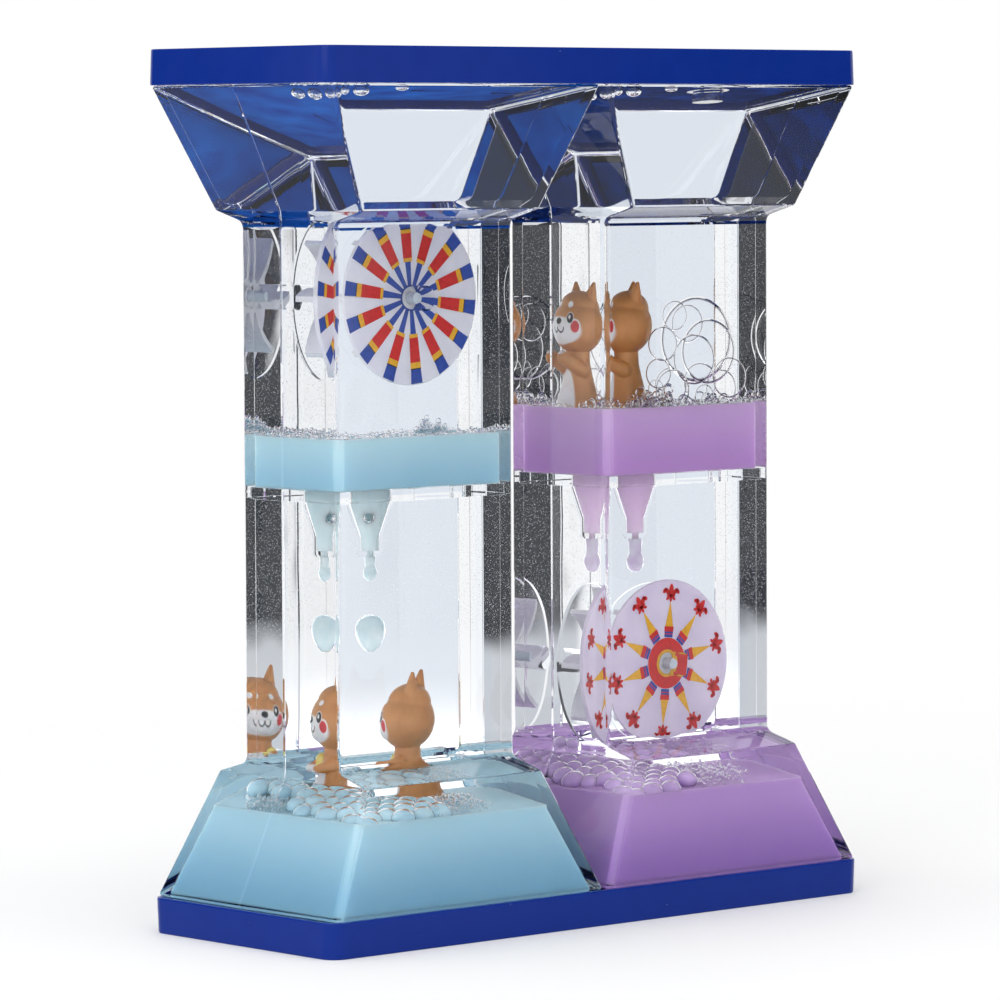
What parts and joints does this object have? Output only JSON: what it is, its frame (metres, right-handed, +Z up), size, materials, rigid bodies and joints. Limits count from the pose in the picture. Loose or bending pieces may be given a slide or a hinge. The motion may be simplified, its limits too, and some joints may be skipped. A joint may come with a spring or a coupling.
{
  "type": "liquid motion timer",
  "caption": "Table-top liquid motion timer: twin clear tanks between blue tray caps, with drip nozzles, spinning wheels and floating puppies in coloured liquid.",
  "frame": {"origin": "middle of the base cap's underside", "axes": "+Z up, X along the two tanks with the blue tank at -X, front at -Y"},
  "size_m": [0.1156, 0.045, 0.14],
  "materials": {
    "cap_blue": "moulded, high gloss, royal blue",
    "clear_shell": "water-clear moulded acrylic, polished",
    "clear_fitting": "clear moulded plastic",
    "paddle_white": "milky white moulding",
    "disc_white": "white disc with printed spokes in blue, red and yellow",
    "disc_lilac": "pale lilac disc with a printed sun and lilies",
    "figure_tan": "painted moulding, tan with white muzzle and belly",
    "figure_yellow": "painted moulding, pale yellow",
    "ballast_steel": "plain steel slug",
    "liquid_blue": "milky light blue water, stood in for by a solid",
    "liquid_purple": "milky purple water, stood in for by a solid"
  },
  "bodies": {
    "frame": {"base_cap": "cap_blue", "top_cap": "cap_blue", "left_front_shell": "clear_shell", "left_rear_shell": "clear_shell", "left_divider": "clear_fitting", "left_filler_plug": "clear_fitting", "left_wheel_axle": "clear_fitting", "left_upper_pool": "liquid_blue", "left_lower_pool": "liquid_blue", "left_nozzle_drop": "liquid_blue", "right_front_shell": "clear_shell", "right_rear_shell": "clear_shell", "right_divider": "clear_fitting", "right_filler_plug": "clear_fitting", "right_wheel_axle": "clear_fitting", "right_upper_pool": "liquid_purple", "right_lower_pool": "liquid_purple", "right_nozzle_drop": "liquid_purple"},
    "left_wheel": {"left_wheel_disc": "disc_white", "left_wheel_paddle": "paddle_white", "left_wheel_back": "clear_fitting"},
    "left_float": {"left_puppy": "figure_tan", "left_ballast": "ballast_steel", "left_chick": "figure_yellow"},
    "right_wheel": {"right_wheel_disc": "disc_lilac", "right_wheel_paddle": "paddle_white", "right_wheel_back": "clear_fitting"},
    "right_float": {"right_puppy": "figure_tan", "right_ballast": "ballast_steel"}
  },
  "joints": [
    {"name": "left_wheel_spin", "type": "hinge", "parent": "frame", "child": "left_wheel", "pos_m": [-0.02765, 0, 0.1007], "axis": [0, 1, 0], "continuous": true},
    {"name": "right_wheel_spin", "type": "hinge", "parent": "frame", "child": "right_wheel", "pos_m": [0.02765, 0, 0.0393], "axis": [0, 1, 0], "continuous": true},
    {"name": "left_float_rise", "type": "slide", "parent": "frame", "child": "left_float", "axis": [0, 0, 1], "range_m": [-0.0077, 0.0165], "stiffness_N_per_m": 5, "springref_m": 0.0077},
    {"name": "right_float_rise", "type": "slide", "parent": "frame", "child": "right_float", "axis": [0, 0, 1], "range_m": [-0.0053, 0.029], "stiffness_N_per_m": 5, "springref_m": 0.0075}
  ]
}
